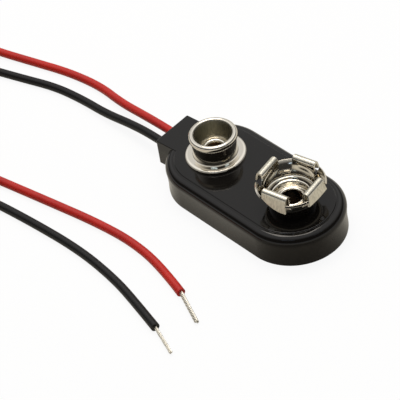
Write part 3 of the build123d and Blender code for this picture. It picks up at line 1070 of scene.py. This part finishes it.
# The world is bright above and behind the object, has a dimmer gap there, and glows along the
# horizon. Camera rays see it white, and mirrored rays see its horizon white
def makeWorld(s):
    world = bpy.data.worlds.new("studio")
    world.use_nodes = True
    tree = world.node_tree
    tree.nodes.clear()
    place = addNode(tree, "ShaderNodeTexCoord").outputs["Generated"]
    bright = directionOf(s["brightAzimuth"], s["brightElevation"])
    gap = directionOf(s["gapAzimuth"], s["gapElevation"])
    down = (0, 0, -1)
    inGap = addStep(tree, place, gap, s["gapFrom"], s["gapTo"], 0.0, 1.0)
    above = addStep(tree, place, bright, s["brightFrom"], s["brightTo"], s["dimLevel"], s["brightLevel"])
    horizon = addStep(tree, place, down, -s["horizonTop"], 0.0, 0.0, s["horizonLevel"])
    parted = addNode(tree, "ShaderNodeMix", values={3: s["gapLevel"]}, links={0: inGap, 2: above})
    lit = addNode(
        tree, "ShaderNodeMath", {"operation": "MAXIMUM"}, links={0: parted.outputs[0], 1: horizon}
    )
    paths = addNode(tree, "ShaderNodeLightPath").outputs
    pale = addStep(tree, place, down, -s["horizonTop"], 0.0, 0.0, 1.0)
    mirrored = addNode(
        tree, "ShaderNodeMath", {"operation": "MULTIPLY"}, links={0: paths["Is Glossy Ray"], 1: pale}
    )
    total = addNode(
        tree, "ShaderNodeMath", {"operation": "MAXIMUM"}, links={0: lit.outputs[0], 1: mirrored.outputs[0]}
    )
    seen = addNode(
        tree, "ShaderNodeMath", {"operation": "MAXIMUM"},
        links={0: paths["Is Camera Ray"], 1: paths["Is Transmission Ray"]},
    )
    level = addNode(
        tree, "ShaderNodeMix", values={3: 1.0}, links={0: seen.outputs[0], 2: total.outputs[0]}
    )
    sky = addNode(
        tree, "ShaderNodeBackground", values={"Color": toLinear("FFFFFF")},
        links={"Strength": level.outputs[0]},
    )
    addNode(tree, "ShaderNodeOutputWorld", links={"Surface": sky.outputs[0]})
    bpy.context.scene.world = world


# A plain pale square. It glows white for camera rays and pale for mirrored ones, and it is shaded
# near one place, where the contacts mirror it darker
def makeFloor(s):
    half = s["floorSize"] / 2
    data = bpy.data.meshes.new("floor")
    corners = [(-half, -half, 0), (half, -half, 0), (half, half, 0), (-half, half, 0)]
    data.from_pydata(corners, [], [(0, 1, 2, 3)])
    floor = bpy.data.objects.new("floor", data)
    bpy.context.collection.objects.link(floor)
    material, tree = newMaterial("whitePaper")
    paths = addNode(tree, "ShaderNodeLightPath").outputs
    seen = addNode(
        tree, "ShaderNodeMath", {"operation": "MAXIMUM"},
        links={0: paths["Is Camera Ray"], 1: paths["Is Transmission Ray"]},
    ).outputs[0]
    shown = addNode(
        tree, "ShaderNodeMath", {"operation": "MAXIMUM"}, links={0: seen, 1: paths["Is Glossy Ray"]}
    ).outputs[0]
    place = addNode(tree, "ShaderNodeTexCoord").outputs["Object"]
    away = addNode(
        tree, "ShaderNodeVectorMath", {"operation": "DISTANCE"},
        {1: [v * mm for v in s["shadedPlace"]]}, {0: place},
    )
    first, last = s["shadedRadii"]
    lit = addNode(
        tree, "ShaderNodeMapRange", {"interpolation_type": "SMOOTHSTEP"},
        {"From Min": first * mm, "From Max": last * mm}, {"Value": away.outputs["Value"]},
    )
    mirrored = addNode(
        tree, "ShaderNodeMix", {"data_type": "RGBA"},
        {6: toLinear(s["floorShaded"]), 7: toLinear(s["floorMirrored"])}, {0: lit.outputs[0]},
    )
    colour = addNode(
        tree, "ShaderNodeMix", {"data_type": "RGBA"},
        {7: toLinear(s["floorSeen"])}, {0: seen, 6: mirrored.outputs[2]},
    )
    plain = addNode(
        tree, "ShaderNodeBsdfPrincipled",
        values={"Roughness": s["floorRough"], "Specular IOR Level": s["floorGloss"]},
        links={"Base Color": colour.outputs[2]},
    )
    glowing = addNode(
        tree, "ShaderNodeMix", {"data_type": "RGBA"},
        {7: toLinear("FFFFFF")}, {0: seen, 6: mirrored.outputs[2]},
    )
    glow = addNode(
        tree, "ShaderNodeEmission", values={"Strength": 1.0}, links={"Color": glowing.outputs[2]}
    )
    share = addNode(tree, "ShaderNodeMath", {"operation": "MULTIPLY"}, {1: s["floorGlow"]}, {0: shown})
    both = addNode(
        tree, "ShaderNodeMixShader", links={0: share.outputs[0], 1: plain.outputs[0], 2: glow.outputs[0]}
    )
    finishMaterial(tree, both)
    data.materials.append(material)


# A lamp that stands in the given direction at the common distance and faces the object
def addLamp(name, s, distance):
    data = bpy.data.lights.new(name, "AREA")
    data.shape = "RECTANGLE"
    data.size, data.size_y = s["size"]
    data.energy = s["power"]
    data.color = toLinear(s["tint"])[:3]
    lamp = bpy.data.objects.new(name, data)
    place = directionOf(s["azimuth"], s["elevation"]) * distance
    turn = (-place).to_track_quat("-Z", "Y").to_matrix().to_4x4()
    lamp.matrix_world = Matrix.Translation(place) @ turn
    bpy.context.collection.objects.link(lamp)


makeWorld(stage)
makeFloor(stage)
for name, s in lamps.items():
    addLamp(name, s, stage["lampDistance"])
bpy.context.scene.view_settings.view_transform = "Standard"
print("stage set")

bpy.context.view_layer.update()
